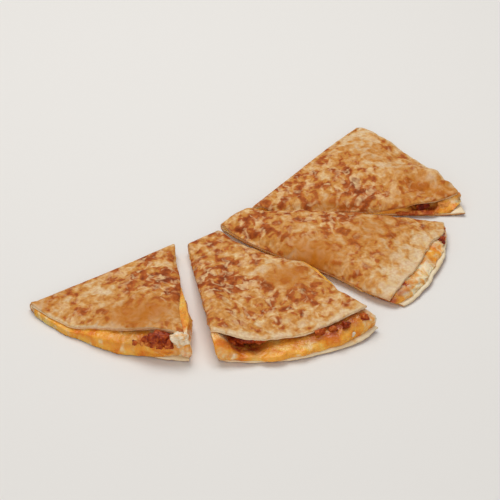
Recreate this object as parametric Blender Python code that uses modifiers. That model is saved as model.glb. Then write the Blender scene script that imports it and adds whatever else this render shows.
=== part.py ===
"""Grilled quesadilla: one flour tortilla folded over melted cheese and chicken, cut into four wedges.

The folded disc is described before it is cut, with its fold along X at y = 0 and its round, open
edge towards -Y. Each wedge is then turned and shifted a little, as cut pieces lie on a board.
Every wedge is one folded sheet of tortilla, one layer of cheese, and the pieces set in that cheese.
"""

import math
from dataclasses import dataclass

import bmesh
import bpy
from mathutils import Matrix, Vector, noise

MM = 0.001
DISC_RADIUS = 130 * MM
SHEET = 2 * MM  # thickness of the tortilla
GAP = 0.3 * MM  # left between pieces that touch
LAYOUT_CENTRE = Vector((-0.25 * MM, -54.8 * MM, 0))  # of the box round the laid-out wedges

ACROSS = 13  # cells of a wedge from its first side to its second
ALONG_FLAP = 9  # cells of a flap from fold to rim
ROUND_FOLD = 5  # cells round the fold
CHEESE_LEVELS = 3  # cells of the cheese from one flap to the other

DROOP_WIDTH = 9 * MM  # how far in from a cut the top flap bends down
CHEESE_INSET = 0.6 * MM  # the cheese stops this far inside a cut
LEAST_CHEESE = 0.8 * MM  # the thinnest that the cheese gets between the flaps


@dataclass
class Lump:
    """A place where the top flap is pushed up, or pinched down, in the uncut disc's frame."""

    x: float
    y: float
    height: float
    spread: float


@dataclass
class Wedge:
    """One slice. Lists hold values from its first side (nearer -X) to its second, evenly spaced."""

    fold: tuple  # x of its two ends on the fold line
    arc: tuple  # polar angles of its two ends on the round edge, in degrees
    turn: float  # degrees about the disc's centre
    shift: tuple
    fold_height: tuple
    rim_height: tuple
    reach: tuple  # how far the bottom flap goes past the disc's radius
    rim_inset: tuple  # how far the top flap stops short of that radius
    crown: float  # how far the middle rises above the line from fold to rim
    droop: tuple  # how far the top flap bends down along each of its two sides, fold to rim
    curl: tuple  # how far the bottom flap's rim lifts off the board
    bulge: tuple  # how far the cheese swells out past the top flap
    cheese: tuple  # the first and last column of cells that hold cheese
    lumps: tuple = ()
    pulled_back: tuple = (0, 0)  # how far the top flap's first side stands back from the bottom's


@dataclass
class Chunk:
    """A lump set in the cheese, as wide along the rim, as deep and at most as tall as its size."""

    wedge: str
    share: float  # of the wedge, side to side
    out: float  # share of the way from the fold to the top flap's rim
    size: tuple
    turn: float  # degrees off the line of the rim
    seed: int


WEDGES = {
    "wedge_1": Wedge(
        fold=(-129.3, -31),
        arc=(182, 228),
        turn=-9,
        shift=(-9.5, 0.5),
        fold_height=(5, 5.6, 6.2, 7.5, 9),
        rim_height=(5, 5.4, 9.4, 15, 17.2),
        reach=(-1, -2.5, -3, -2.5, -2),
        rim_inset=(1.5, 3, 5, 7, 8),
        crown=2.5,
        droop=((0, 0), (2.5, 2.5, 2, 1)),
        curl=(1, 0.5, 0, 0, 0),
        bulge=(1, 2, 3.5, 4, 3),
        cheese=(2, ACROSS),
        lumps=(Lump(-92, -56, -2.2, 12),),
    ),
    "wedge_2": Wedge(
        fold=(-30.7, -9.9),
        arc=(228, 270),
        turn=-4.8,
        shift=(-3.6, -3.1),
        fold_height=(9, 9, 9),
        rim_height=(17.5, 15.5, 12.5, 11.2, 11, 11.2, 11.8, 12.7, 13.5, 14.2, 15),
        reach=(-1.8, -0.5, 0.8, 1.8, 2.2, 2.8, 3, 2.5, -1),
        rim_inset=(10.8, 8.6, 7.6, 7, 7, 7.1, 7.2, 7.7, 8.1, 7.2, 8.2),
        crown=2.2,
        droop=((5, 4.5, 4, 3, 1.5), (3, 2, 2, 1)),
        curl=(0, 0, 0.5, 1, 1.5),
        bulge=(6, 6, 6.5, 7, 6),
        cheese=(0, ACROSS),
        lumps=(Lump(0, -64, 1.5, 14),),
        pulled_back=(0, -1.5, -2.5, -3, -3.5),
    ),
    "wedge_3": Wedge(
        fold=(-9.9, 11.6),
        arc=(270, 308.6),
        turn=3.8,
        shift=(4.9, 3.4),
        fold_height=(7, 9, 8),
        rim_height=(9, 9, 9, 9, 9, 9, 9, 9, 8, 7.4, 7),
        reach=(0, 1, 1, 0.5, 0, 0, 0, -0.9, -1.5, -2.2, -3.2),
        rim_inset=(6, 7, 8.3, 8.8, 9.3, 9.4, 9.2, 7.8, 4.6, 3.2, 3),
        crown=5,
        droop=((7, 8, 8, 8, 4), (4, 4, 4, 3, 1)),
        curl=(0, 1, 1.5, 1.5, 1),
        bulge=(4, 5.5, 6.5, 6.5, 6.5, 6.5, 6, 5, 2, 1, 0.5),
        cheese=(0, ACROSS),
        pulled_back=(-2, -2.5, -3, -3.5, -4),
    ),
    "wedge_4": Wedge(
        fold=(11.8, 129.3),
        arc=(309, 358),
        turn=10.9,
        shift=(9, -0.6),
        fold_height=(9, 9, 9, 8.5, 6.5),
        rim_height=(8, 9.6, 9.4, 12, 9.8, 7.6, 7, 6.9, 7.1, 7, 6.5),
        reach=(3.5, 3, 1, -0.8, -1, -1, -0.5),
        rim_inset=(4, 3, 3, 3.6, 4.4, 5.2, 5.8, 6, 5.5, 4.8, 4, 3, 2),
        crown=3.5,
        droop=((4, 6, 6, 5, 2.5, 0.3), (0, 0)),
        curl=(1, 0.8, 0.5, 0.5, 0.5),
        bulge=(4, 2, 1, 1, 1, 1, 1, 1, 0.5),
        cheese=(0, ACROSS - 2),
        lumps=(Lump(97, -74, 2, 6), Lump(84, -70, -1.5, 8)),
        pulled_back=(0, -1.5, -2.5, -2.5, -2.5, -2, -1.5, -0.5, 2.3, 8, 15),
    ),
}

CHICKEN = {
    "wedge_1_chicken_1": Chunk("wedge_1", 0.85, 1.01, (12, 8, 8), -6, 3),
    "wedge_1_chicken_2": Chunk("wedge_1", 0.735, 1.02, (7, 5, 4.6), 10, 8),
    "wedge_2_chicken_1": Chunk("wedge_2", 0.15, 1.05, (9, 8, 5), 5, 5),
    "wedge_2_chicken_2": Chunk("wedge_2", 0.76, 1.05, (8, 8, 5), -5, 11),
    "wedge_2_chicken_3": Chunk("wedge_2", 0.92, 1.05, (6, 8, 5), 8, 14),
    "wedge_3_chicken_1": Chunk("wedge_3", 0.12, 1.03, (8, 6, 3), 0, 17),
    "wedge_4_chicken_1": Chunk("wedge_4", 0.06, 1.0, (7, 7, 2.3), -30, 21),
    "wedge_4_chicken_2": Chunk("wedge_4", 0.02, 0.84, (6, 10, 2.4), 0, 24),
}
WHITE_CHEESE = {
    "wedge_1_white_cheese": Chunk("wedge_1", 0.945, 1.02, (7.5, 8, 9), 0, 31),
}
TORTILLA_COLOUR = (0.62, 0.40, 0.20)
CHEESE_COLOUR = (0.78, 0.36, 0.06)
CHICKEN_COLOUR = (0.25, 0.08, 0.03)
WHITE_CHEESE_COLOUR = (0.80, 0.72, 0.58)


def along(values, share):
    """A smooth curve through evenly spaced values, read at a share from 0 to 1 of its length."""
    last = len(values) - 1
    i = min(int(share * last), last - 1)
    t = share * last - i
    before, a, b, after = values[max(i - 1, 0)], values[i], values[i + 1], values[min(i + 2, last)]
    bend = (2 * before - 5 * a + 4 * b - after) * t**2 + (3 * a - before - 3 * b + after) * t**3
    return a + 0.5 * ((b - before) * t + bend)


def smooth(t):
    """0 below 0, 1 above 1, and an even S between them."""
    t = min(max(t, 0), 1)
    return t * t * (3 - 2 * t)


def on_arc(wedge, share):
    """The point of the disc's round edge at a share of the wedge, side to side."""
    angle = math.radians(wedge.arc[0] + (wedge.arc[1] - wedge.arc[0]) * share)
    return DISC_RADIUS * math.cos(angle), DISC_RADIUS * math.sin(angle)


def ground(wedge, share, depth, top=0):
    """The point that lies this far in from the fold line, on the row at a share of the wedge."""
    x_fold = (wedge.fold[0] + (wedge.fold[1] - wedge.fold[0]) * share) * MM
    x_arc, y_arc = on_arc(wedge, share)
    far = min(max(depth / -y_arc, 0), 1)
    back = top * along(wedge.pulled_back, far) * MM * max(0, 1 - 3 * share) ** 1.5
    return x_fold + (x_arc - x_fold) * depth / -y_arc + back, -depth


def fold_radius(wedge, share):
    """Radius of the sheet's middle surface round the fold."""
    return (along(wedge.fold_height, share) * MM - SHEET) / 2


def depth_of_rim(wedge, share, top):
    """How far the row at a share runs from the fold line to the flap's rim."""
    depth = -on_arc(wedge, share)[1]
    short = along(wedge.rim_inset, share) if top else -along(wedge.reach, share)
    return depth - short * MM * min(1, depth / DISC_RADIUS + 0.3)


def bottom_lift(wedge, share, depth):
    """How far the bottom flap's underside is off the board: nothing but a curl over its last cell."""
    rim = depth_of_rim(wedge, share, False)
    last_cell = (rim - fold_radius(wedge, share)) / ALONG_FLAP
    return max(0, along(wedge.curl, share)) * MM * max(0, 1 - (rim - depth) / last_cell)


def top_height(wedge, share, depth):
    """Height of the top flap's outer face above the board."""
    start = fold_radius(wedge, share)
    run = max(depth_of_rim(wedge, share, True) - start, 1 * MM)
    q = min(max((depth - start) / run, 0), 1)
    fold, rim = along(wedge.fold_height, share), along(wedge.rim_height, share)
    body = math.sin(math.pi * share) if (0, 0) in wedge.droop else 1
    height = fold + (rim - fold) * smooth(q) + wedge.crown * body * math.sin(math.pi * q)
    x, y = ground(wedge, share, depth)
    left, right = Vector(ground(wedge, 0, depth)), Vector(ground(wedge, 1, depth))
    for side, amounts in ((left, wedge.droop[0]), (right, wedge.droop[1])):
        near = max(0, 1 - (Vector((x, y)) - side).length / DROOP_WIDTH)
        height -= along(amounts, q) * near**2 * smooth(20 * q)
    x, y = ground(wedge, share, depth, 1)
    for lump in wedge.lumps:
        away = math.hypot(x / MM - lump.x, y / MM - lump.y) / lump.spread
        height += lump.height * math.exp(-(away**2))
    return max(height * MM, bottom_lift(wedge, share, depth) + 2 * SHEET + 2 * GAP + LEAST_CHEESE)


def share_of(column):
    """The share of the wedge at a column of cells, 0 to 1. Columns crowd a little towards the cuts."""
    return column - 0.07 * math.sin(2 * math.pi * column)


def flap_point(wedge, share, depth):
    """A point of the top flap's middle surface."""
    return Vector((*ground(wedge, share, depth, 1), top_height(wedge, share, depth) - SHEET / 2))


def sheet_point(wedge, share, step):
    """A point of the sheet's middle surface. Steps run from the bottom flap's rim round to the top's."""
    radius = fold_radius(wedge, share)
    if step <= ALONG_FLAP:
        rim = depth_of_rim(wedge, share, False)
        depth = rim + (radius - rim) * step / ALONG_FLAP
        return Vector((*ground(wedge, share, depth), SHEET / 2 + bottom_lift(wedge, share, depth)))
    if step < ALONG_FLAP + ROUND_FOLD:
        angle = math.pi * (step - ALONG_FLAP) / ROUND_FOLD
        depth = radius * (1 - math.sin(angle))
        height = SHEET / 2 + radius * (1 - math.cos(angle))
        return Vector((*ground(wedge, share, depth, angle / math.pi), height))
    rim = depth_of_rim(wedge, share, True)
    depth = radius + (rim - radius) * (step - ALONG_FLAP - ROUND_FOLD) / ALONG_FLAP
    return flap_point(wedge, share, depth)


def floor_height(wedge, share, depth):
    """Height at which the filling lies, clear of the bottom flap."""
    return SHEET + GAP + 1.1 * bottom_lift(wedge, share, depth)


def cheese_point(wedge, share, q, level):
    """A point of the cheese: q runs from the fold outwards, and level from the bottom flap to the top."""
    radius = fold_radius(wedge, share)
    depth = radius + (depth_of_rim(wedge, share, True) - radius) * q
    flap = flap_point(wedge, share, depth)
    across = flap_point(wedge, share + 0.01, depth) - flap
    onwards = flap_point(wedge, share, depth + 1 * MM) - flap
    top = flap + across.cross(onwards).normalized() * (SHEET / 2 + GAP)
    swell = along(wedge.bulge, share) * MM * math.sqrt(max(0, 1 - (1.7 * level - 0.7) ** 2)) if q == 1 else 0
    low = Vector((*ground(wedge, share, depth + swell), floor_height(wedge, share, depth + swell)))
    top.z = max(top.z, low.z + LEAST_CHEESE)
    middle = low.lerp(top, level)
    return Vector((*ground(wedge, share, depth + swell, level), middle.z)) if level < 1 else middle


def laid_out(wedge):
    """Takes a wedge from the uncut disc to where it lies."""
    shift = Vector((wedge.shift[0] * MM, wedge.shift[1] * MM, 0))
    return Matrix.Translation(shift - LAYOUT_CENTRE) @ Matrix.Rotation(math.radians(wedge.turn), 4, "Z")


def finish(name, colour, roughness):
    """A material that all pieces of one food share."""
    material = bpy.data.materials.new(name)
    material.use_nodes = True
    shader = material.node_tree.nodes["Principled BSDF"]
    shader.inputs["Base Color"].default_value = (*colour, 1)
    shader.inputs["Roughness"].default_value = roughness
    return material


def add_piece(name, shape, matrix, material, collection):
    """Makes an object of a bmesh, which it frees. Fixed diagonals keep neighbours' facets parallel."""
    mesh = bpy.data.meshes.new(name)
    bmesh.ops.triangulate(shape, faces=shape.faces, quad_method="FIXED")
    shape.to_mesh(mesh)
    shape.free()
    mesh.shade_smooth()
    mesh.set_sharp_from_angle(angle=math.radians(50))
    mesh.materials.append(material)
    piece = bpy.data.objects.new(name, mesh)
    piece.matrix_world = matrix
    collection.objects.link(piece)
    return piece


def add_tortilla(name, wedge, material, collection):
    """The folded sheet: a flat grid rolled over into bottom flap, fold and top flap, then thickened."""
    steps = 2 * ALONG_FLAP + ROUND_FOLD
    shape = bmesh.new()
    bmesh.ops.create_grid(shape, x_segments=ACROSS, y_segments=steps, size=0.5)
    for vertex in shape.verts:
        share = share_of(min(max(vertex.co.x + 0.5, 0), 1))
        vertex.co = sheet_point(wedge, share, round((vertex.co.y + 0.5) * steps))
    piece = add_piece(name + "_tortilla", shape, laid_out(wedge), material, collection)
    thicken = piece.modifiers.new("Thickness", "SOLIDIFY")
    thicken.thickness = SHEET
    thicken.offset = 0
    return piece


def add_cheese(name, wedge, material, collection):
    """The cheese: a flat slab of cells shaped to the space between the flaps."""
    first, last = wedge.cheese
    shape = bmesh.new()
    bmesh.ops.create_grid(shape, x_segments=last - first, y_segments=ALONG_FLAP, size=0.5)
    level = [*shape.edges, *shape.faces]
    for i in range(CHEESE_LEVELS):
        made = bmesh.ops.extrude_face_region(shape, geom=level, use_keep_orig=i == 0)["geom"]
        raised = [part for part in made if isinstance(part, bmesh.types.BMVert)]
        bmesh.ops.translate(shape, verts=raised, vec=(0, 0, 1 / CHEESE_LEVELS))
        level = [part for part in made if not isinstance(part, bmesh.types.BMVert)]
    bmesh.ops.recalc_face_normals(shape, faces=shape.faces)
    bmesh.ops.reverse_faces(shape, faces=shape.faces)  # depth runs towards -Y, which mirrors the slab
    inset = CHEESE_INSET / (0.7 * DISC_RADIUS)
    for vertex in shape.verts:
        column = first + (vertex.co.x + 0.5) * (last - first)
        share = min(max(share_of(column / ACROSS), inset), 1 - inset)
        q = round((vertex.co.y + 0.5) * ALONG_FLAP) / ALONG_FLAP
        vertex.co = cheese_point(wedge, share, q, vertex.co.z)
    return add_piece(name + "_cheese", shape, laid_out(wedge), material, collection)


def add_chunk(name, chunk, grow, material, collection):
    """An uneven lump: a ball pushed in and out, stretched to its size, and grown where it is a cutter."""
    wedge = WEDGES[chunk.wedge]
    depth = depth_of_rim(wedge, chunk.share, True) * chunk.out
    x, y = ground(wedge, chunk.share, depth)
    low = floor_height(wedge, chunk.share, depth) + GAP
    high = top_height(wedge, chunk.share, depth) - 1.4 * SHEET - 2 * GAP
    width, length, height = chunk.size[0] * MM, chunk.size[1] * MM, min(chunk.size[2] * MM, high - low)
    shape = bmesh.new()
    bmesh.ops.create_icosphere(shape, subdivisions=2, radius=0.5)
    for vertex in shape.verts:
        vertex.co *= 1 + 0.3 * noise.noise(vertex.co * 2.6 + Vector((chunk.seed, 0, 0)))
    bmesh.ops.scale(shape, verts=shape.verts, vec=Vector((width, length, height)) + Vector([2 * grow] * 3))
    place = Matrix.Translation((x, y, (low + high) / 2))
    turn = Matrix.Rotation(math.atan2(x, -y) + math.radians(chunk.turn), 4, "Z")
    return add_piece(name, shape, laid_out(wedge) @ place @ turn, material, collection)


def cut_pocket(cheese, name, chunk, cutters):
    """Cuts the chunk's room out of the cheese, with a gap all round it."""
    cutter = add_chunk(name + "_cutter", chunk, 1.6 * GAP, cheese.data.materials[0], cutters)
    cutter.hide_render = True
    cutter.display_type = "WIRE"
    pocket = cheese.modifiers.new(name, "BOOLEAN")
    pocket.operation = "DIFFERENCE"
    pocket.object = cutter


def main():
    for old in list(bpy.data.objects):
        bpy.data.objects.remove(old)
    pieces = bpy.data.collections.new("Quesadilla")
    cutters = bpy.data.collections.new("Cutters")
    bpy.context.scene.collection.children.link(pieces)
    bpy.context.scene.collection.children.link(cutters)
    tortilla = finish("Tortilla", TORTILLA_COLOUR, 0.7)
    melted = finish("Cheese", CHEESE_COLOUR, 0.35)
    meat = finish("Chicken", CHICKEN_COLOUR, 0.6)
    white = finish("White cheese", WHITE_CHEESE_COLOUR, 0.4)
    cheeses = {}
    for name, wedge in WEDGES.items():
        add_tortilla(name, wedge, tortilla, pieces)
        cheeses[name] = add_cheese(name, wedge, melted, pieces)
    for chunks, material in ((CHICKEN, meat), (WHITE_CHEESE, white)):
        for name, chunk in chunks.items():
            add_chunk(name, chunk, 0, material, pieces)
            cut_pocket(cheeses[chunk.wedge], name, chunk, cutters)


main()
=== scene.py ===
import functools
import math
import random
from dataclasses import dataclass

import bmesh
import bpy
from mathutils import Matrix, Vector, noise


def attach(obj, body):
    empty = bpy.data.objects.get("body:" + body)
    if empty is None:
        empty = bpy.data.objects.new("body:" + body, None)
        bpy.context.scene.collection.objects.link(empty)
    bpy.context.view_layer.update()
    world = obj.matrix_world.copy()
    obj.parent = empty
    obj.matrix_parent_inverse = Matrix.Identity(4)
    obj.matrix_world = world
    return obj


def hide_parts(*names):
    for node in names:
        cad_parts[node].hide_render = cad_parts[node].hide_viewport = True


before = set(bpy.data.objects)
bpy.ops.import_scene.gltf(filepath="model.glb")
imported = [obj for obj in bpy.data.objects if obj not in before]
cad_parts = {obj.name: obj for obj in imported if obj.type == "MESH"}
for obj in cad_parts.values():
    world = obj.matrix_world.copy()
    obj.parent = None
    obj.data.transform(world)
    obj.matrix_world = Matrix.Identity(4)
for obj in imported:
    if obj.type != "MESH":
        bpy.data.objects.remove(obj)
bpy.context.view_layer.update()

# ---------------------------------------------------------------------------------------------
# Tortilla. One large flour tortilla, griddled until it blistered and browned, folded in half over
# its filling and cut through into four wedges. In each wedge the bottom flap, a piece of the fold
# and the top flap are one 2 mm sheet, which the knife bent down a little where it went through.
# ---------------------------------------------------------------------------------------------
DISC_RADIUS = 130
SHEET = 2.0  # thickness of the tortilla
GAP, LEAST_FILLING = 0.3, 0.8  # what the flaps keep between them where they are pinched
LAYOUT_CENTRE = Vector((-0.25, -54.8, 0))  # the middle of the four wedges as they lie
DROOP_WIDTH, CURL_WIDTH = 9.0, 14.0  # how far in from a cut, and from the rim, the sheet bends


@dataclass
class Place:
    """A round place on the top flap: how much browner it is than the rest, and how oily. On the back wedge's
    crumpled end, two of them also paint a highlight and shade.
    """

    x: float
    y: float
    radius: float
    toast: float
    oil: float = 0


@dataclass
class Lump:
    """A place where the top flap is pushed up, or pinched down."""

    x: float
    y: float
    height: float
    spread: float


@dataclass(eq=False)
class Wedge:
    """One slice of the folded disc, in millimetres. Lists run from its first side to its second."""

    side: str
    fold: tuple  # x of its two ends on the fold line
    arc: tuple  # polar angles of its two ends on the round edge
    turn: float  # degrees about the disc's centre
    shift: tuple
    fold_height: tuple
    rim_height: tuple
    reach: tuple  # how far the bottom flap goes past the disc's radius
    rim_inset: tuple  # how far the top flap stops short of that radius
    crown: float
    droop: tuple  # how far the top flap bends down along each of its two sides
    curl: tuple  # how far the bottom flap's rim lifts
    margin: tuple  # width of the pale band along the top flap's rim
    cuts: tuple  # how far each cut wanders outwards, from the fold to the rim
    places: tuple
    bulge: tuple  # how far the cheese swells out past the top flap
    recess: tuple  # how far the cheese hangs back under the top flap's rim
    drip: tuple  # how much of the bottom flap's rim the cheese has run over
    squeeze: tuple = ((0, 0), (0, 0))  # how far the cheese is pressed out of the two cuts
    cheese: tuple = (0, 1)  # the share of the wedge, side to side, that holds cheese
    lumps: tuple = ()
    dents: tuple = ()  # hollows in the cheese under the top flap
    white: tuple = (0, 0)  # how much of the cheese at the rim is the white kind
    painted_shade: tuple = (0, 0)  # how much painted shade, reddish brown, darkens the cheese under the top flap's rim
    browned: tuple = (0, 0)  # how far the griddle browned the edge of the top flap's rim
    belly: float = 0.7  # 0.7 where the cheese swells out half-way up, 0 where it slumps to the board
    pulled_back: tuple = ((0, 0), (0, 0))  # how far each cut of the top flap lies outside the bottom flap's


WEDGES = (
    Wedge(
        side="left",
        fold=(-129.3, -31),
        arc=(182, 228),
        turn=-9,
        shift=(-9.5, 0.5),
        fold_height=(5, 5.6, 6.2, 7.5, 9),
        rim_height=(5, 5.4, 9.4, 15, 17.2),
        reach=(-1, -2.5, -3, -2.5, -2),
        rim_inset=(1.5, 2.5, 3.2, 5.4, 8.5, 9.6, 9.6, 9, 8),
        crown=2.5,
        droop=((0, 0), (2.5, 2.5, 2, 1)),
        curl=(1, 0.5, 0, 0, 0),
        margin=(5, 3, 2, 1, 1),
        browned=(0, 0, 0.5, 0.9, 0.9),
        cuts=((0, 0, 0), (0.5, -0.4, 0.6, 0.2, -0.5, 0.4, 0)),
        places=(
            Place(-65, -32, 17, 0.32),
            Place(-92, -18, 15, -0.48),
            Place(-113, -27, 10, 0.12),
            Place(-97, -53, 16, -0.28, 0.85),
            Place(-84, -64, 13, -0.25, 0.8),
            Place(-124, -5, 10, -0.1, 0.5),
            Place(-44, -17, 8, -0.2),
            Place(-68, -54, 9, 0.12),
        ),
        bulge=(2, 4.5, 6, 5.6, 5.3),
        recess=(0, 0, 0, 2, 1.5),
        drip=(1, 1, 1, 1, 0.95, 0.5, 0.1),
        squeeze=((0, 0), (0, 0, 0, 0.5, 3, 5.5, 5.5, 2)),
        pulled_back=((0, 0), (0, 0, 0, -0.5, -2, -3.5, -3.5, -2)),
        cheese=(0.012, 1),
        white=(0.1, 0.15, 0.18, 0.18, 0.2, 0.1, 0.1, 0.4, 0.6),
        painted_shade=(0, 0, 0, 0, 0.4, 0.5, 0),
        lumps=(Lump(-92, -56, -2.2, 12),),
    ),
    Wedge(
        side="front",
        fold=(-30.7, -9.9),
        arc=(228, 270),
        turn=-4.8,
        shift=(-3.6, -3.1),
        fold_height=(9, 9, 9),
        rim_height=(17.5, 15.5, 12.5, 11.2, 11, 11.2, 11.8, 12.7, 13.5, 14.2, 15),
        reach=(-1.8, -0.5, 0.8, 1.8, 2.2, 2.8, 3, 2.5, -1),
        rim_inset=(10.8, 8.6, 7.6, 7, 7, 7.1, 7.2, 7.7, 8.1, 7.2, 8.2),
        crown=2.2,
        droop=((5, 4.5, 4, 3, 1.5), (3, 2, 2, 1)),
        curl=(0, 0, 0.1, 0.3, 1.3),
        margin=(5, 7, 6, 9, 7),
        cuts=((0, 0, 0), (1, 0.5, 0.2, 1.5, 6, 3.5, 0, -1.2, 0.5)),
        places=(
            Place(-42, -47, 20, 0.3),
            Place(-24, -54, 9, -0.4),
            Place(-15, -70, 12, -0.28, 1.0),
            Place(-36, -83, 16, 0.2),
            Place(-20, -25, 8, -0.3),
            Place(-45, -68, 9, -0.15),
            Place(-69, -70, 8, -0.25),
        ),
        bulge=(9, 8.7, 9.3, 9.4, 7),
        recess=(0, 5, 3, 1.5, 1.5, 1.5),
        white=(0.35, 0.1, -0.2, 0, 0, -0.2, 0.1, 0.7),
        painted_shade=(0, 1, 0.7, 0.4, 0.5, 0.8, 0.9, 0.7, 0.3),
        belly=0.4,
        pulled_back=((0, -1.5, -2.5, -3, -3.5), (0, 0)),
        drip=(0, 0, 0),
        squeeze=((0, 0), (0, 0, 0, 1, 2, 0.5, 0)),
        lumps=(Lump(0, -64, 1.5, 14),),
        dents=(Lump(-76, -97, -4, 5), Lump(-68, -102, -3, 6)),
    ),
    Wedge(
        side="right",
        fold=(-9.9, 11.6),
        arc=(270, 308.6),
        turn=3.8,
        shift=(4.9, 3.4),
        fold_height=(7, 9, 8),
        rim_height=(9, 9, 9, 9, 9, 9, 9, 9, 8, 7.4, 7),
        reach=(0, 1, 1, 0.5, 0, 0, 0, -0.9, -1.5, -2.2, -3.2),
        rim_inset=(6, 7, 8.3, 8.8, 9.3, 9.4, 9.2, 7.8, 4.6, 3.2, 3),
        crown=5,
        droop=((7, 8, 8, 8, 4), (4, 4, 4, 3, 1)),
        curl=(0, 1, 1.5, 1.5, 1),
        margin=(22, 30, 32, 24, 10),
        cuts=((-2, 1, 2, 1, -0.5, 0, 1.5, 0), (0, 0, 0)),
        places=(
            Place(2, -12, 9, 0.3),
            Place(6, -38, 8, -0.3),
            Place(2, -50, 6, 0.25, 0.2),
            Place(26, -56, 16, 0.12),
            Place(28, -76, 14, -0.12, 0.35),
            Place(24, -100, 9, 0.3, 0.2),
            Place(-6, -66, 17, -0.4, 1.0),
            Place(45, -78, 14, -0.2, 0.4),
            Place(5, -111, 14, -0.25),
        ),
        bulge=(4.3, 5.9, 7.3, 7.7, 7.1, 7.4, 6.6, 5, 2, 1, 0.5),
        belly=0.1,
        painted_shade=(0.9, 0.6, 0.2, 0, 0, 0.3, 0, 0, 0.5, 0.9, 0),
        recess=(0, 0, 0),
        drip=(0, 0, 0),
        white=(0, 0.6, 1, 1, 0.9, 0.1, 0.65, 0.7, 0.6, 0.3),
        pulled_back=((-2, -2.5, -3, -3.5, -4), (0, 0)),
    ),
    Wedge(
        side="back",
        fold=(11.8, 129.3),
        arc=(309, 358),
        turn=10.9,
        shift=(9, -0.6),
        fold_height=(9, 9, 9, 8.5, 6.5),
        rim_height=(
            *(10.8, 10.2, 9.8, 10.2, 9.9, 11.4, 12.7, 11.8, 9.8, 8.4),
            *(7.6, 7.2, 7, 6.9, 6.9, 7, 7.1, 7.1, 7, 6.8, 6.5),
        ),
        reach=(3.5, 3, 1, -0.8, -1, -1, -0.5),
        rim_inset=(5, 3.4, 3, 3.6, 4.4, 5.2, 5.8, 6, 5.5, 4.8, 4, 3, 2),
        crown=3.5,
        droop=((5, 6.5, 7, 5.5, 2.5, 0.3), (0, 0)),
        curl=(1, 0.8, 0.5, 0.5, 0.5),
        margin=(3, 3, 4, 6, 8),
        cuts=((0, 0, 0), (0, 0, 0)),
        places=(
            Place(46, -16, 9, 0.25),
            Place(64, -42, 15, 0.32),
            Place(61, -24, 6, -0.3),
            Place(98, -28, 15, -0.2, 0.3),
            Place(92, -52, 17, -0.3, 0.1),
            Place(115, -9, 15, -0.6),
            Place(66, -70, 10, -0.1, 0.4),
            # Browner and oilier beside the crumpled end's crest, partly painted shade.
            Place(86, -72, 10, 0.42, 0.8),
            # Painted highlight: a pale spot on the crest of the crumpled end.
            Place(94, -75, 3, -0.9),
            Place(88, -86, 9, 0, 0.8),
            Place(96, -93, 5, 0.4),
            Place(38, -40, 12, 0, 0.6),
        ),
        bulge=(3, 1.5, 0.5, 0.5, 1, 1, 1, 1, 0.5),
        recess=(0, 0, 0),
        drip=(0, 0, 0),
        cheese=(0, 0.9),
        lumps=(
            Lump(97, -74, 2, 6),
            Lump(84, -70, -1.5, 8),
            Lump(89, -79, -1.3, 3.5),
            Lump(94, -84, 1.2, 4),
            Lump(104, -66, -1.3, 4),
        ),
        dents=(Lump(70, -81, -6, 6), Lump(76, -86, -5, 5)),
        white=(0.3, 0, 0, 0),
        painted_shade=(0.3, 0.2, 0),
        pulled_back=((0, -1.5, -2.5, -2.5, -2.5, -2, -2, -1.5, 1, 8, 18.5), (0, 0)),
    ),
)


def along(values, share):
    """A smooth curve through evenly spaced values, read at a share from 0 to 1 of its length."""
    share = min(max(share, 0), 1)
    last = len(values) - 1
    i = min(int(share * last), last - 1)
    t = share * last - i
    before, a, b, after = values[max(i - 1, 0)], values[i], values[i + 1], values[min(i + 2, last)]
    bend = (2 * before - 5 * a + 4 * b - after) * t**2 + (3 * a - before - 3 * b + after) * t**3
    return a + 0.5 * ((b - before) * t + bend)


def smooth(t):
    """0 below 0, 1 above 1, and an even S between them."""
    t = min(max(t, 0), 1)
    return t * t * (3 - 2 * t)


def rough(point, size, seed):
    """Smooth unevenness from about -1 to 1, in lumps of this size."""
    x, y, z = (*point, 0)[:3]
    return 1.6 * noise.noise(Vector((x / size + 17.3 * seed, y / size, z / size + 3.1 * seed)))


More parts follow.
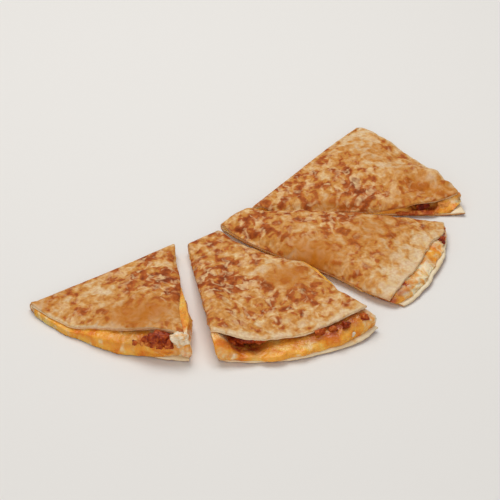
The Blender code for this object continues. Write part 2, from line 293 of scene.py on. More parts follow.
class Row:
    """One line of a wedge from its fold to its round edge, with all that stays the same along it."""

    def __init__(self, wedge, share):
        angle = math.radians(wedge.arc[0] + (wedge.arc[1] - wedge.arc[0]) * share)
        self.wedge, self.share = wedge, share
        self.x_fold = wedge.fold[0] + (wedge.fold[1] - wedge.fold[0]) * share
        self.x_arc, self.length = DISC_RADIUS * math.cos(angle), -DISC_RADIUS * math.sin(angle)
        self.fold_height, self.rim_height = along(wedge.fold_height, share), along(wedge.rim_height, share)
        self.radius = (self.fold_height - SHEET) / 2
        self.curl = max(0, along(wedge.curl, share))
        # An end wedge tapers to the fold's tip on the side with no droop, and its crown dies away there.
        self.body = math.sin(math.pi * share) if (0, 0) in wedge.droop else 1
        chord = 2 * DISC_RADIUS * math.sin(math.radians(wedge.arc[1] - wedge.arc[0]) / 2)
        self.widths = wedge.fold[1] - wedge.fold[0], chord
        lean = min(1, self.length / DISC_RADIUS + 0.3)
        self.rims = [
            self.length - lean * (short + 0.5 * self.rough(9, seed) + 0.25 * self.rough(3, seed + 1))
            for short, seed in ((-along(wedge.reach, share), 2), (along(wedge.rim_inset, share), 4))
        ]

    def rough(self, size, seed, height=0):
        return rough((self.x_arc, self.length, height), size, seed)

    def ground(self, depth, top=0):
        """The point this far in from the fold line. Near a cut it follows the cut's wander."""
        far = depth / self.length
        x = self.x_fold + (self.x_arc - self.x_fold) * far
        sides = zip(self.wedge.cuts, self.wedge.pulled_back, (1 - 3 * self.share, 3 * self.share - 2))
        for cut, back, nearness in sides:
            if nearness > 0:
                x += (1 if self.share > 0.5 else -1) * along(cut, far) * nearness**2
                x += top * along(back, far) * nearness**1.5
        return x, -depth

    def from_cuts(self, depth):
        """How far a point lies from its wedge's two cuts."""
        width = self.widths[0] + (self.widths[1] - self.widths[0]) * depth / DISC_RADIUS
        return width * self.share, width * (1 - self.share)

    def bottom_lift(self, depth):
        """How far the bottom flap's underside is off the board: nothing but a curl at the rim."""
        return self.curl * smooth(1 - (self.rims[0] - depth) / CURL_WIDTH) ** 2

    def top_height(self, depth):
        """Height of the top flap's outer face above the board, without its blisters."""
        q = min(max((depth - self.radius) / max(self.rims[1] - self.radius, 1), 0), 1)
        height = self.fold_height + (self.rim_height - self.fold_height) * smooth(q)
        height += self.wedge.crown * self.body * math.sin(math.pi * q)
        for away, amount in zip(self.from_cuts(depth), self.wedge.droop):
            if away < DROOP_WIDTH:
                height -= along(amount, q) * (1 - away / DROOP_WIDTH) ** 2 * smooth(9 * q)
        x, y = self.ground(depth, 1)
        for lump in self.wedge.lumps:
            height += lump.height * math.exp(-(((x - lump.x) ** 2 + (y - lump.y) ** 2) / lump.spread**2))
        height += smooth(3 * q) * (0.7 * rough((x, y), 13, 7) + 0.35 * rough((x, y), 6, 8))
        return max(height, self.bottom_lift(depth) + 2 * SHEET + 2 * GAP + LEAST_FILLING)

    def flap(self, depth):
        """The middle of the top flap."""
        return Vector((*self.ground(depth, 1), self.top_height(depth) - SHEET / 2))


@functools.lru_cache(maxsize=None)
def row_at(wedge, share):
    return Row(wedge, min(max(share, 0), 1))


def blister(x, y):
    """Height of the blisters that rose as the tortilla cooked, from about -1 to 1."""
    bent = (x + 2.2 * rough((x, y), 5, 11), y + 2.2 * rough((x, y), 5, 12))
    return 0.75 * rough(bent, 4.2, 13) + 0.4 * rough(bent, 2.1, 14)


def crowded(f):
    """A share from 0 to 1, with the last few steps before 1 made small, to round an edge with."""
    return 1 - (1 - f) * (1 - 0.75 * math.exp(-(((1 - f) / 0.03) ** 2)))


def share_of(column):
    """The share of the wedge at a column, with small steps next to both cuts."""
    return crowded(column) if column > 0.5 else 1 - crowded(1 - column)


def laid_out(wedge):
    """Takes a wedge from the uncut disc, in millimetres, to where it lies, in metres."""
    place = Matrix.Translation(Vector((*wedge.shift, 0)) - LAYOUT_CENTRE)
    return Matrix.Scale(0.001, 4) @ place @ Matrix.Rotation(math.radians(wedge.turn), 4, "Z")


COLUMNS = 132
ROWS_UNDER, ROWS_ROUND, ROWS_OVER = 60, 14, 178
UNDERSIDE_CLEARANCE, UNDERSIDE_WAVE = 0.03, 0.12  # the least gap under a wedge, and how it varies
FOLD_PUFF, BLISTER_RISE = 0.25, 0.4  # how far blisters stand out round the fold and on the top flap
EDGE_ROUNDING, EDGE_THICKNESS = 0.8, 0.3  # how far in from an edge the sheet thins, and to what share
EDGE_SHADE_REACH = 3  # how far in from a cut the sheet's edge is darkened, as painted shade
PLAIN_TOAST, MARGIN_PALENESS = 0.5, 0.75  # how toasted the sheet is, and how much less its rim


def sheet_station(row, step):
    """The sheet's middle at a step round the row: its point, its distance from the rim, and 1 if on top."""
    if step <= ROWS_UNDER:
        depth = row.radius + (row.rims[0] - row.radius) * crowded(1 - step / ROWS_UNDER)
        x, y = row.ground(depth)
        lift = row.bottom_lift(depth) + UNDERSIDE_CLEARANCE
        lift += UNDERSIDE_WAVE * max(0, 1 + rough((x, y), 5, 21))
        return Vector((x, y, SHEET / 2 + lift)), row.rims[0] - depth, 0
    if step < ROWS_UNDER + ROWS_ROUND:
        angle = math.pi * (step - ROWS_UNDER) / ROWS_ROUND
        depth = row.radius * (1 - math.sin(angle))
        x, y = row.ground(depth, angle / math.pi)
        puff = FOLD_PUFF * math.sin(angle) * blister(x, 3 * angle)
        height = SHEET / 2 + row.radius * (1 - math.cos(angle))
        return Vector((x, y + puff, height)), DISC_RADIUS, angle / math.pi
    depth = row.radius + (row.rims[1] - row.radius) * crowded((step - ROWS_UNDER - ROWS_ROUND) / ROWS_OVER)
    return row.flap(depth), row.rims[1] - depth, 1


def toasted_sheet(wedge, finishes):
    """A flat grid rolled over into a wedge's bottom flap, fold and blistered top flap, then thickened."""
    steps = ROWS_UNDER + ROWS_ROUND + ROWS_OVER
    shape = bmesh.new()
    bmesh.ops.create_grid(shape, x_segments=COLUMNS, y_segments=steps, size=0.5)
    weights = shape.verts.layers.deform.verify()
    toast_layer, oil_layer, rise_layer, edge_shade_and_browning_layer = (
        shape.verts.layers.float.new(name) for name in ("toast", "oil", "rise", "edge_shade_and_browning")
    )
    for vertex in shape.verts:
        row = row_at(wedge, share_of(round((vertex.co.x + 0.5) * COLUMNS) / COLUMNS))
        point, from_rim, over = sheet_station(row, round((vertex.co.y + 0.5) * steps))
        from_cut = min(row.from_cuts(-point.y))
        rise = blister(point.x, point.y + 40 * (1 - over))
        margin = along(wedge.margin, row.share) * (1 + 0.5 * row.rough(8, 61))
        toast = PLAIN_TOAST - (MARGIN_PALENESS * smooth(1 - from_rim / margin) if over == 1 else 0)
        oil = 0
        for place in wedge.places:
            away = math.hypot(point.x - place.x, point.y - place.y) / place.radius
            toast += place.toast * math.exp(-(away**2)) * over
            oil += place.oil * math.exp(-(away**2)) * over
        vertex[toast_layer], vertex[oil_layer], vertex[rise_layer] = toast, min(oil, 1), rise
        # Painted shade on the sheet's edge along each cut; where the griddle browned the top flap's rim, the
        # same darker edge is real.
        darkened_edge = smooth(0.5 + (from_rim - from_cut) / EDGE_SHADE_REACH)
        vertex[edge_shade_and_browning_layer] = max(darkened_edge, over * along(wedge.browned, row.share))
        round_off = 1 - min(max(min(from_rim, from_cut), 0) / EDGE_ROUNDING, 1)
        vertex[weights][0] = EDGE_THICKNESS + (1 - EDGE_THICKNESS) * math.sqrt(1 - round_off**2)
        if over == 1:
            point.z += BLISTER_RISE * rise * smooth(min(from_rim, from_cut) / SHEET)
        vertex.co = point
    mesh = bpy.data.meshes.new(wedge.side + "_tortilla")
    shape.to_mesh(mesh)
    shape.free()
    sheet = bpy.data.objects.new(wedge.side + "_tortilla", mesh)
    bpy.context.scene.collection.objects.link(sheet)
    for finish in finishes:
        mesh.materials.append(finish)
    sheet.vertex_groups.new(name="thickness")
    thicken = sheet.modifiers.new("Thickness", "SOLIDIFY")
    thicken.thickness = SHEET
    thicken.offset = 0
    thicken.vertex_group = "thickness"
    thicken.material_offset, thicken.material_offset_rim = 2, 1
    settle(sheet, laid_out(wedge))
    return sheet


def settle(piece, matrix):
    """Applies a piece's modifiers and moves its mesh to its place, which leaves its object at the origin."""
    graph = bpy.context.evaluated_depsgraph_get()
    mesh = bpy.data.meshes.new_from_object(piece.evaluated_get(graph))
    piece.modifiers.clear()
    piece.data = mesh
    mesh.transform(matrix)
    mesh.shade_smooth()


def colour(red, green, blue):
    """A linear colour from display values of 0 to 255."""
    shares = [value / 255 for value in (red, green, blue)]
    return (*[share / 12.92 if share < 0.043 else ((share + 0.055) / 1.055) ** 2.4 for share in shares], 1)


def node(tree, kind, **inputs):
    """Adds a node. Inputs go by label, or by i0, i1 ..., and take a value or another node's output."""
    made = tree.nodes.new(kind)
    for name, value in inputs.items():
        key = int(name[1:]) if name[0] == "i" and name[1:].isdigit() else name.replace("_", " ")
        if isinstance(value, bpy.types.NodeSocket):
            tree.links.new(value, made.inputs[key])
        else:
            made.inputs[key].default_value = value
    return made


def sum_of(tree, operation, *values):
    """A Math node's result."""
    made = node(tree, "ShaderNodeMath", **{f"i{i}": value for i, value in enumerate(values)})
    made.operation = operation
    return made.outputs[0]


def blend(tree, factor, first, second, mode="MIX"):
    """A colour mixed from two."""
    made = tree.nodes.new("ShaderNodeMix")
    made.data_type, made.blend_type = "RGBA", mode
    for socket, value in ((made.inputs[0], factor), (made.inputs[6], first), (made.inputs[7], second)):
        if isinstance(value, bpy.types.NodeSocket):
            tree.links.new(value, socket)
        else:
            socket.default_value = value
    return made.outputs[2]


def ramp(tree, factor, *stops):
    """A colour ramp from (position, colour) stops. A colour may be one number, for a grey."""
    made = node(tree, "ShaderNodeValToRGB", Fac=factor)
    elements = made.color_ramp.elements
    while len(elements) < len(stops):
        elements.new(0.5)
    for element, (position, value) in zip(elements, stops):
        element.position = position
        element.color = value if isinstance(value, tuple) else (value, value, value, 1)
    return made.outputs["Color"]


def spots_group():
    """Soft unevenness in spots of one width, which every finish of the food is mottled with."""
    group = bpy.data.node_groups.new("Spots", "ShaderNodeTree")
    group.interface.new_socket("Place", in_out="INPUT", socket_type="NodeSocketVector")
    for name in ("Width", "Detail", "Roughness", "Distortion"):
        group.interface.new_socket(name, in_out="INPUT", socket_type="NodeSocketFloat")
    group.interface.new_socket("Amount", in_out="OUTPUT", socket_type="NodeSocketFloat")
    given = group.nodes.new("NodeGroupInput").outputs
    texture = node(
        group, "ShaderNodeTexNoise", Vector=given["Place"], Scale=sum_of(group, "DIVIDE", 1, given["Width"]),
        Detail=given["Detail"], Roughness=given["Roughness"], Distortion=given["Distortion"],
    )
    node(group, "NodeGroupOutput", Amount=texture.outputs["Fac"])
    return group


SPOTS = spots_group()


def spots(tree, place, width, detail=2.0, roughness=0.5, distortion=0.0):
    """The Spots group set in a material with values of its own, the width in metres."""
    made = tree.nodes.new("ShaderNodeGroup")
    made.node_tree = SPOTS
    tree.links.new(place, made.inputs["Place"])
    values = {"Width": width, "Detail": detail, "Roughness": roughness, "Distortion": distortion}
    for name, value in values.items():
        made.inputs[name].default_value = value
    return made.outputs["Amount"]


def attribute(tree, name):
    """A value that the mesh holds at each of its points, under this name."""
    made = node(tree, "ShaderNodeAttribute")
    made.attribute_name = name
    return made.outputs["Fac"]


def relief(tree, shader, height, strength, depth):
    """Raises and hollows a finish by a height value."""
    bump = node(tree, "ShaderNodeBump", Strength=strength, Distance=depth, Height=height)
    tree.links.new(bump.outputs[0], shader.inputs["Normal"])


def new_material(name):
    """A material with its node tree, its shader, and the place on the object that its patterns follow."""
    material = bpy.data.materials.new(name)
    material.use_nodes = True
    tree = material.node_tree
    return material, tree, tree.nodes["Principled BSDF"], node(tree, "ShaderNodeTexCoord").outputs["Object"]


FLOURY = colour(222, 194, 156)
PALE = colour(216, 180, 130)
CREAM = colour(232, 198, 146)
LIGHT_GOLDEN = colour(209, 153, 87)
GOLDEN = colour(197, 131, 58)
RUST = colour(184, 102, 42)
BROWN = colour(168, 82, 28)
DARK_BROWN = colour(132, 56, 16)
OILY_GOLD = colour(185, 107, 20)


def toasted_tortilla():
    """Golden dough browned in spots, flecked with cream where it is not, orange where oil soaked in."""
    material, tree, shader, place = new_material("Toasted tortilla")
    toast = attribute(tree, "toast")
    drawn_out = node(
        tree, "ShaderNodeMapping", Vector=place, Rotation=(0, 0, math.radians(-45)), Scale=(1, 1.35, 1)
    )
    drawn_out.vector_type = "TEXTURE"
    grain = spots(tree, drawn_out.outputs[0], 0.0052, detail=1.6, distortion=0.35)
    patches = spots(tree, place, 0.022, detail=1)
    level = sum_of(tree, "MULTIPLY_ADD", attribute(tree, "rise"), 0.04, grain)
    level = sum_of(tree, "MULTIPLY_ADD", sum_of(tree, "SUBTRACT", patches, 0.5), 0.25, level)
    level = sum_of(tree, "MULTIPLY_ADD", sum_of(tree, "SUBTRACT", toast, PLAIN_TOAST), 0.4, level)
    dough = ramp(
        tree, level,
        (0.12, FLOURY), (0.28, PALE), (0.38, LIGHT_GOLDEN), (0.47, GOLDEN), (0.51, GOLDEN), (0.535, RUST),
        (0.62, BROWN), (0.76, DARK_BROWN),
    )
    elsewhere = node(tree, "ShaderNodeVectorMath", i0=drawn_out.outputs[0], i1=(0.3, 0.1, 0)).outputs[0]
    flecks = ramp(tree, spots(tree, elsewhere, 0.0045, distortion=0.7), (0.50, 0), (0.67, 1))
    toasted = ramp(tree, toast, (0.3, 0.3), (0.55, 0.75))
    dough = blend(tree, sum_of(tree, "MULTIPLY", flecks, toasted), dough, CREAM)
    oily = sum_of(tree, "MULTIPLY", attribute(tree, "oil"), sum_of(tree, "ADD", patches, 0.35))
    dough = blend(tree, oily, dough, OILY_GOLD)
    # Painted light and shade: a fine grey speckle overlaid on the dough, lighter and darker by turns, weaker
    # where it is oily.
    fine = spots(tree, place, 0.0016)
    painted_light_and_shade = ramp(tree, fine, (0.35, 0.14), (0.65, 0.7))
    dough = blend(tree, sum_of(tree, "MULTIPLY_ADD", oily, -0.3, 0.27), dough, painted_light_and_shade, "OVERLAY")
    tree.links.new(dough, shader.inputs["Base Color"])
    tree.links.new(ramp(tree, oily, (0.0, 0.6), (0.8, 0.42)), shader.inputs["Roughness"])
    relief(tree, shader, sum_of(tree, "MULTIPLY_ADD", fine, 0.05, level), 0.8, 0.0016)
    shader.inputs["Specular IOR Level"].default_value = 0.1
    return material


def cut_tortilla():
    """The edge of the sheet: pale, layered crumb at its rim, darker golden brown where the griddle browned
    the rim, and the same darker brown along the cuts as painted shade.
    """
    material, tree, shader, place = new_material("Cut tortilla")
    layers = node(tree, "ShaderNodeMapping", Vector=place, Scale=(1, 1, 4)).outputs[0]
    crumb = spots(tree, layers, 0.0016, detail=4, roughness=0.6)
    rim = ramp(
        tree, crumb,
        (0.3, colour(224, 184, 130)), (0.5, colour(244, 216, 172)), (0.7, colour(250, 232, 200)),
    )
    # The darker edge: painted shade along the cuts, and griddle browning at the rim where a wedge lists it.
    darkened_edge = ramp(
        tree, crumb,
        (0.3, colour(176, 98, 42)), (0.5, colour(202, 132, 66)), (0.7, colour(222, 164, 98)),
    )
    tree.links.new(blend(tree, attribute(tree, "edge_shade_and_browning"), rim, darkened_edge), shader.inputs["Base Color"])
    shader.inputs["Roughness"].default_value = 0.65
    relief(tree, shader, crumb, 0.7, 0.0005)
    return material


def inside_tortilla():
    """The face against the filling: soft, pale dough, stained by the cheese in places."""
    material, tree, shader, place = new_material("Inside of tortilla")
    dough = ramp(
        tree, spots(tree, place, 0.009),
        (0.35, colour(240, 222, 188)), (0.6, colour(234, 208, 164)), (0.75, colour(224, 170, 96)),
    )
    tree.links.new(dough, shader.inputs["Base Color"])
    shader.inputs["Roughness"].default_value = 0.6
    relief(tree, shader, spots(tree, place, 0.002), 0.4, 0.0005)
    return material


tortilla_finishes = inside_tortilla(), cut_tortilla(), toasted_tortilla()
for number, wedge in enumerate(WEDGES, 1):
    sheet = toasted_sheet(wedge, tortilla_finishes)
    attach(sheet, "root")
    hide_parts(f"wedge_{number}_tortilla")

# ---------------------------------------------------------------------------------------------
# Melted cheese. A blend of orange and pale cheese fills each wedge from the fold to the round
# edge, where it swelled out over the bottom flap, and bulges a little at the knife's cuts.
# ---------------------------------------------------------------------------------------------
CHEESE_COLUMNS, CHEESE_ROWS, CHEESE_LEVELS = 120, 90, 14
CLING = 0.02  # gap between the cheese and the flaps
LEAST_CHEESE = 0.3  # thickness it keeps where it is pinched
DRIP_FOOT = 0.4  # how high over the board a drip of cheese ends


def swelling(row, level):
    """How far the cheese swells out of the round edge at this level, more crinkled where it is white."""
    belly, white = row.wedge.belly, max(0, along(row.wedge.white, row.share))
    swell = along(row.wedge.bulge, row.share) * math.sqrt(max(0, 1 - ((1 + belly) * level - belly) ** 2))
    swell *= 1 + (0.1 + 0.3 * belly) * row.rough(11, 31, 6 * level)
    crinkle = 0.7 * row.rough(5, 32, 9 * level) + (0.4 + 0.5 * white) * row.rough(2.5, 33, 9 * level)
    return swell + crinkle * math.sin(math.pi * level)


def into_fold(row, level):
    """How far the cheese bulges into the fold at this level."""
    return math.sqrt(max(0, 1 - (2 * level - 1) ** 2)) * (row.radius - SHEET / 2 - 0.4)


def cheese_point(wedge, share, q, level):
    """A point of the cheese: q runs from the fold outwards, and level from the bottom flap to the top."""
    row = row_at(wedge, share)
    depth = row.radius + (row.rims[1] - row.radius) * q
    across = row_at(wedge, share + 0.01).flap(depth) - row_at(wedge, share - 0.01).flap(depth)
    onwards = row.flap(depth + 0.5) - row.flap(depth - 0.5)
    top = row.flap(depth) + across.cross(onwards).normalized() * (SHEET / 2 + CLING)
    hollow = max(0, along(wedge.recess, share)) * smooth((q - 0.85) / 0.15) * smooth((level - 0.45) / 0.55)
    at_fold, at_rim = q < 0.001, q > 0.999
    swell = swelling(row, level) if at_rim else 0
    out = depth + swell - hollow - (into_fold(row, level) if at_fold else 0)
    low = SHEET + CLING + row.bottom_lift(out)
    for dent in wedge.dents:
        top.z += dent.height * math.exp(-(((top.x - dent.x) ** 2 + (top.y - dent.y) ** 2) / dent.spread**2))
    high = max(top.z - 0.5 * hollow, low + LEAST_CHEESE)
    between = top.xy * level + Vector(row.ground(depth)) * (1 - level)
    x, y = between if out == depth else row.ground(out, level)
    point = Vector((x, y, low + (high - low) * level))
    drip = max(0, along(wedge.drip, share))
    if at_rim and drip:
        past = row.rims[0] - depth + 1 + 0.25 * swell + 0.6 * row.rough(14, 51)
        run = Vector((*row.ground(depth + past * smooth(3 * level + 0.5)), 0))
        run.z = DRIP_FOOT + (high - DRIP_FOOT) * smooth(1.3 * level - 0.25) if level > 0.12 else low
        point = point.lerp(run, drip * smooth(4 * (1 - level)))
    return point


def cheese_slab():
    """A block of small cells, one unit each way, with its faces outwards once depth runs towards -Y."""
    shape = bmesh.new()
    bmesh.ops.create_grid(shape, x_segments=CHEESE_COLUMNS, y_segments=CHEESE_ROWS, size=0.5)
    level = [*shape.edges, *shape.faces]
    for i in range(CHEESE_LEVELS):
        made = bmesh.ops.extrude_face_region(shape, geom=level, use_keep_orig=i == 0)["geom"]
        raised = [part for part in made if isinstance(part, bmesh.types.BMVert)]
        bmesh.ops.translate(shape, verts=raised, vec=(0, 0, 1 / CHEESE_LEVELS))
        level = [part for part in made if not isinstance(part, bmesh.types.BMVert)]
    bmesh.ops.recalc_face_normals(shape, faces=shape.faces)
    bmesh.ops.reverse_faces(shape, faces=shape.faces)
    return shape


def push_out(point, side, height, squeezed):
    """Moves a point of cut side 0 or 1 outwards, unevenly, and by how far the cheese was pressed out."""
    uneven = 0.2 + 0.9 * rough((point.y, point.z), 5, 41) + 0.5 * rough((point.y, 2 * point.z), 2, 42)
    out = uneven * math.sin(math.pi * height) + squeezed * smooth(2.5 * height)
    point.x += (2 * side - 1) * out
    point.z += 0.8 * SHEET * min(squeezed, 1) * smooth(2 * height - 1)


def painted_shade_at(wedge, share, q, height, point):
    """How much painted shade, reddish brown, darkens the cheese here: under the top flap's rim, and in each
    hollow.
    """
    shade_amount = along(wedge.painted_shade, share) * smooth(2.5 * height - 1.3) * smooth(20 * q - 18)
    for dent in wedge.dents:
        away = math.hypot(point.x - dent.x, point.y - dent.y) / dent.spread
        shade_amount = max(shade_amount, math.exp(-0.7 * away**2) * smooth(2 * height - 0.2))
    return shade_amount


def melted_cheese(wedge):
    """A slab shaped to the space between the flaps, its open sides pushed in and out."""
    shape = cheese_slab()
    white_layer, painted_shade_layer = (shape.verts.layers.float.new(name) for name in ("white", "painted_shade"))
    for vertex in shape.verts:
        column = round((vertex.co.x + 0.5) * CHEESE_COLUMNS) / CHEESE_COLUMNS
        q, height = crowded(vertex.co.y + 0.5), min(max(vertex.co.z, 0), 1)
        share = wedge.cheese[0] + (wedge.cheese[1] - wedge.cheese[0]) * share_of(column)
        point = cheese_point(wedge, share, q, height)
        if column in (0, 1):
            push_out(point, column, height, max(0, along(wedge.squeeze[int(column)], q)))
        vertex.co = point
        patchy = 0.35 * rough((point.x, point.y, point.z), 4, 71)
        vertex[white_layer] = (along(wedge.white, share) + patchy) * smooth(20 * q - 18)
        # Painted shade on the cheese in its hollows and under the top flap's rim.
        vertex[painted_shade_layer] = painted_shade_at(wedge, share, q, height, point)
    mesh = bpy.data.meshes.new(wedge.side + "_cheese")
    shape.to_mesh(mesh)
    shape.free()
    cheese = bpy.data.objects.new(wedge.side + "_cheese", mesh)
    bpy.context.scene.collection.objects.link(cheese)
    settle(cheese, laid_out(wedge))
    return cheese


def cheese_finish():
    """Orange cheese melted together with the white kind, glossy with its own oil."""
    material, tree, shader, place = new_material("Melted cheese")
    streaks = spots(tree, place, 0.008, distortion=0.5)
    orange = ramp(
        tree, streaks,
        (0.30, colour(222, 124, 30)), (0.42, colour(233, 152, 46)), (0.56, colour(240, 172, 64)),
        (0.70, colour(243, 197, 102)),
    )
    curds = spots(tree, place, 0.005, distortion=0.8)
    pale = ramp(
        tree, curds,
        (0.36, colour(226, 154, 74)), (0.46, colour(232, 192, 132)), (0.6, colour(242, 220, 182)),
    )
    white = attribute(tree, "white")
    white = sum_of(tree, "MULTIPLY_ADD", sum_of(tree, "SUBTRACT", streaks, 0.5), 1.4, white)
    melted = blend(tree, ramp(tree, white, (0.22, 0), (0.68, 1)), orange, pale)
    fine = spots(tree, place, 0.003)
    shade_amount = sum_of(tree, "MULTIPLY", attribute(tree, "painted_shade"), ramp(tree, fine, (0.36, 0.6), (0.5, 1)))
    # Painted shade: reddish brown over the cheese in its hollows and under the top flap's rim, mottled by
    # the fine spots.
    tree.links.new(blend(tree, shade_amount, melted, colour(156, 54, 24)), shader.inputs["Base Color"])
    tree.links.new(ramp(tree, fine, (0.35, 0.22), (0.65, 0.42)), shader.inputs["Roughness"])
    relief(tree, shader, sum_of(tree, "MULTIPLY_ADD", curds, 1.2, fine), 0.7, 0.0012)
    shader.inputs["Specular IOR Level"].default_value = 0.28
    shader.inputs["Subsurface Weight"].default_value = 0.25
    shader.inputs["Subsurface Radius"].default_value = (0.004, 0.002, 0.0008)
    shader.inputs["Subsurface Scale"].default_value = 0.5
    return material


orange_cheese = cheese_finish()
for number, wedge in enumerate(WEDGES, 1):
    cheese = melted_cheese(wedge)
    cheese.data.materials.append(orange_cheese)
    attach(cheese, "root")
    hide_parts(f"wedge_{number}_cheese")

# ---------------------------------------------------------------------------------------------
# Chicken. Chopped grilled chicken, dark with spice, stuck in the cheese where it shows at the
# round edge and at the back wedge's cut: a few chunks and many smaller bits.
# ---------------------------------------------------------------------------------------------


@dataclass
class Bit:
    """A piece of filling: where it sits in its wedge, how high, and its size along, across and up."""

    wedge: int
    share: float
    out: float  # share of the way from the fold to the disc's round edge
    height: float
    size: tuple
    turn: float = 0
    char: float = 0.5  # how dark it was grilled; the two darkest bits, in hollows under the top flap, are also painted shade


CHICKEN = (
    Bit(1, 0.85, 0.955, 12, (12, 9, 8), -6, 0.8),
    Bit(1, 0.81, 0.963, 11, (6, 5, 6), 20, 0.7),
    Bit(1, 0.89, 0.963, 11, (7, 6, 6), 5, 0.8),
    Bit(1, 0.85, 0.97, 10.2, (6, 5, 4.5), 40, 0.6),
    Bit(1, 0.83, 0.962, 13, (5, 4, 4), 10, 0.6),
    Bit(1, 0.77, 0.965, 11.6, (5, 4, 4), 30, 0.65),
    Bit(1, 0.785, 0.972, 9.4, (4.5, 4, 3.5), 0, 0.4),
    Bit(1, 0.74, 0.972, 10, (4, 3.5, 3.5), 10, 0.45),
    Bit(1, 0.705, 0.975, 8.8, (4, 3, 3), -20, 0.6),
    # Darkest bit, in the hollow under the top flap's rim: partly painted shade.
    Bit(2, 0.125, 0.90, 8.5, (9, 7, 7), 5, 1.0),
    Bit(2, 0.19, 0.92, 9.6, (9, 5, 4), 0, 0.9),
    Bit(2, 0.26, 0.925, 8.8, (7, 4, 3), 4, 0.7),
    Bit(2, 0.63, 0.945, 9.4, (7, 5, 3.5), 20, 0.5),
    Bit(2, 0.71, 0.955, 9.6, (5, 4, 4), 0, 0.7),
    Bit(2, 0.80, 0.96, 9.4, (7, 5, 5), -5, 0.9),
    Bit(2, 0.93, 0.965, 10, (6, 5, 6), 0, 0.8),
    Bit(3, 0.04, 0.955, 4.5, (6, 7, 3.5), 0, 0.2),
    Bit(3, 0.14, 0.945, 6.2, (5, 4, 4), 30, 0.5),
    Bit(3, 0.79, 0.967, 5.5, (7, 4, 3.5), 0, 0.8),
    Bit(4, 0.0, 0.74, 2.8, (3, 12, 2), 0, 0.4),
    Bit(4, 0.005, 0.81, 2.9, (5, 24, 2.4), -2, 0.45),
    # Darkest bit, in the hollow under the top flap's rim: partly painted shade.
    Bit(4, 0.04, 0.825, 5, (6, 8, 4), 0, 1.0),
    Bit(4, 0.06, 0.94, 4.6, (8, 8, 4.5), -30, -0.25),
)
FLAT_DISTANCE, FLATNESS = 0.36, 0.85  # where a knife's flat starts on the ball, and how flat it is


def add_lump(shape, bit, number, facets):
    """An uneven ball set at its place on the wedge, with its sides cut flat as a knife would leave them."""
    row = row_at(WEDGES[bit.wedge - 1], bit.share)
    x, y = row.ground(row.length * bit.out)
    ball = bmesh.ops.create_icosphere(shape, subdivisions=5, radius=0.55)["verts"]
    char_layer = shape.verts.layers.float["char"]
    chance = random.Random(number)
    flats = [Vector([chance.gauss(0, 1) for _ in range(3)]).normalized() for _ in range(facets)]
    for vertex in ball:
        point = vertex.co.copy()
        for flat in flats:
            point -= flat * max(0, point.dot(flat) - FLAT_DISTANCE) * FLATNESS
        spot = point + Vector((3.7 * number, 0, 0))
        swell = 0.4 * noise.noise(spot * 2.4) + 0.22 * noise.noise(spot * 5) + 0.06 * noise.noise(spot * 12)
        vertex.co = point * (1 + swell)
        vertex[char_layer] = bit.char
    bmesh.ops.scale(shape, verts=ball, vec=bit.size)
    turn = Matrix.Rotation(math.atan2(x, -y) + math.radians(bit.turn), 4, "Z")
    place = laid_out(row.wedge) @ Matrix.Translation((x, y, bit.height)) @ turn
    bmesh.ops.transform(shape, verts=ball, matrix=place)


def lumps(name, bits, facets):
    """All the bits of one kind as one piece, each with this many flat sides."""
    shape = bmesh.new()
    shape.verts.layers.float.new("char")
    for number, bit in enumerate(bits):
        add_lump(shape, bit, number, facets)
    mesh = bpy.data.meshes.new(name)
    shape.to_mesh(mesh)
    shape.free()
    mesh.shade_smooth()
    piece = bpy.data.objects.new(name, mesh)
    bpy.context.scene.collection.objects.link(piece)
    return piece


def chicken_finish():
    """Brown, spiced meat with darker seared patches and a moist gleam."""
    material, tree, shader, place = new_material("Grilled chicken")
    sear = spots(tree, place, 0.0035, detail=3, roughness=0.6, distortion=0.5)
    char = sum_of(tree, "SUBTRACT", attribute(tree, "char"), 0.5)
    meat = ramp(
        tree, sum_of(tree, "MULTIPLY_ADD", char, -0.4, sear),
        (0.22, colour(98, 22, 2)), (0.36, colour(146, 48, 8)), (0.52, colour(190, 90, 26)),
        (0.68, colour(222, 146, 70)),
    )
    tree.links.new(meat, shader.inputs["Base Color"])
    shader.inputs["Roughness"].default_value = 0.42
    shader.inputs["Specular IOR Level"].default_value = 0.2
    relief(tree, shader, sear, 0.8, 0.0006)
    return material


chicken = lumps("chicken", CHICKEN, 5)
chicken.data.materials.append(chicken_finish())
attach(chicken, "root")
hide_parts(*[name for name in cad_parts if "chicken" in name])

# ---------------------------------------------------------------------------------------------
# White cheese. A soft lump of white cheese that did not melt, squeezed out at the left wedge's
# corner beside the largest chunk of chicken, and a crumb of it in the front wedge's edge.
# ---------------------------------------------------------------------------------------------
WHITE_CHEESE = (
    Bit(1, 0.955, 0.955, 13.4, (9.5, 8, 7)),
    Bit(2, 0.80, 0.99, 5.5, (5, 3, 3)),
)


def white_cheese_finish():
    """Soft white cheese, slightly see-through, with a little orange run into it."""
    material, tree, shader, place = new_material("White cheese")
    run = spots(tree, place, 0.005, detail=3, roughness=0.55, distortion=0.8)
    curd = ramp(
        tree, run,
        (0.40, colour(234, 218, 194)), (0.58, colour(228, 202, 162)), (0.70, colour(224, 160, 84)),
    )
    tree.links.new(curd, shader.inputs["Base Color"])
    shader.inputs["Roughness"].default_value = 0.3
    shader.inputs["Subsurface Weight"].default_value = 0.3
    shader.inputs["Subsurface Radius"].default_value = (0.004, 0.003, 0.002)
    shader.inputs["Subsurface Scale"].default_value = 0.5
    relief(tree, shader, run, 0.5, 0.0005)
    return material


white_cheese = lumps("white_cheese", WHITE_CHEESE, 2)
white_cheese.data.materials.append(white_cheese_finish())
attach(white_cheese, "root")
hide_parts(*[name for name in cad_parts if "white_cheese" in name])

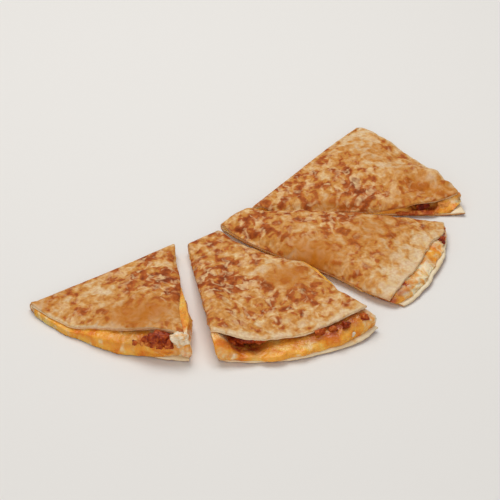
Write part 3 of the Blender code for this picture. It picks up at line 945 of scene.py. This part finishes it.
# ---------------------------------------------------------------------------------------------
# Floor, lights and camera. A plain pale floor under the food, a soft light behind and above it,
# a weaker one in front to its left, and a camera with a long lens looking down at its round edge.
# ---------------------------------------------------------------------------------------------
floor_shape = bmesh.new()
bmesh.ops.create_grid(floor_shape, x_segments=1, y_segments=1, size=3)
floor_mesh = bpy.data.meshes.new("floor")
floor_shape.to_mesh(floor_mesh)
floor_shape.free()
floor = bpy.data.objects.new("floor", floor_mesh)
bpy.context.scene.collection.objects.link(floor)
floor_paint = bpy.data.materials.new("Pale floor")
floor_paint.use_nodes = True
floor_shader = floor_paint.node_tree.nodes["Principled BSDF"]
floor_shader.inputs["Base Color"].default_value = (0.78, 0.76, 0.73, 1)
floor_shader.inputs["Roughness"].default_value = 0.8
floor.data.materials.append(floor_paint)


def softbox(name, place, size, power):
    """A square area light that faces the food."""
    lamp = bpy.data.lights.new(name, "AREA")
    lamp.size, lamp.energy = size, power
    light = bpy.data.objects.new(name, lamp)
    light.location = place
    light.rotation_euler = Vector(place).to_track_quat("Z", "Y").to_euler()
    bpy.context.scene.collection.objects.link(light)


softbox("key", (0.2, 0.4, 1.1), 0.8, 9)
softbox("fill", (-0.9, -0.8, 0.7), 1.0, 5.5)
world = bpy.data.worlds.new("Studio")
world.use_nodes = True
world.node_tree.nodes["Background"].inputs["Color"].default_value = (1, 0.98, 0.95, 1)
world.node_tree.nodes["Background"].inputs["Strength"].default_value = 0.36
bpy.context.scene.world = world
bpy.context.scene.view_settings.view_transform = "Standard"

VIEW_AZIMUTH, VIEW_ELEVATION, VIEW_DISTANCE = math.radians(-45), math.radians(33), 1.4
back = Vector((
    math.sin(VIEW_AZIMUTH) * math.cos(VIEW_ELEVATION),
    -math.cos(VIEW_AZIMUTH) * math.cos(VIEW_ELEVATION),
    math.sin(VIEW_ELEVATION),
))
lens = bpy.data.cameras.new("camera")
lens.sensor_width, lens.lens, lens.clip_start = 36, 172, 0.05
camera = bpy.data.objects.new("camera", lens)
camera.location = 0.001 * (Vector((-5.5, -22.7, 0)) - LAYOUT_CENTRE) + VIEW_DISTANCE * back
camera.rotation_euler = back.to_track_quat("Z", "Y").to_euler()
bpy.context.scene.collection.objects.link(camera)
bpy.context.scene.camera = camera
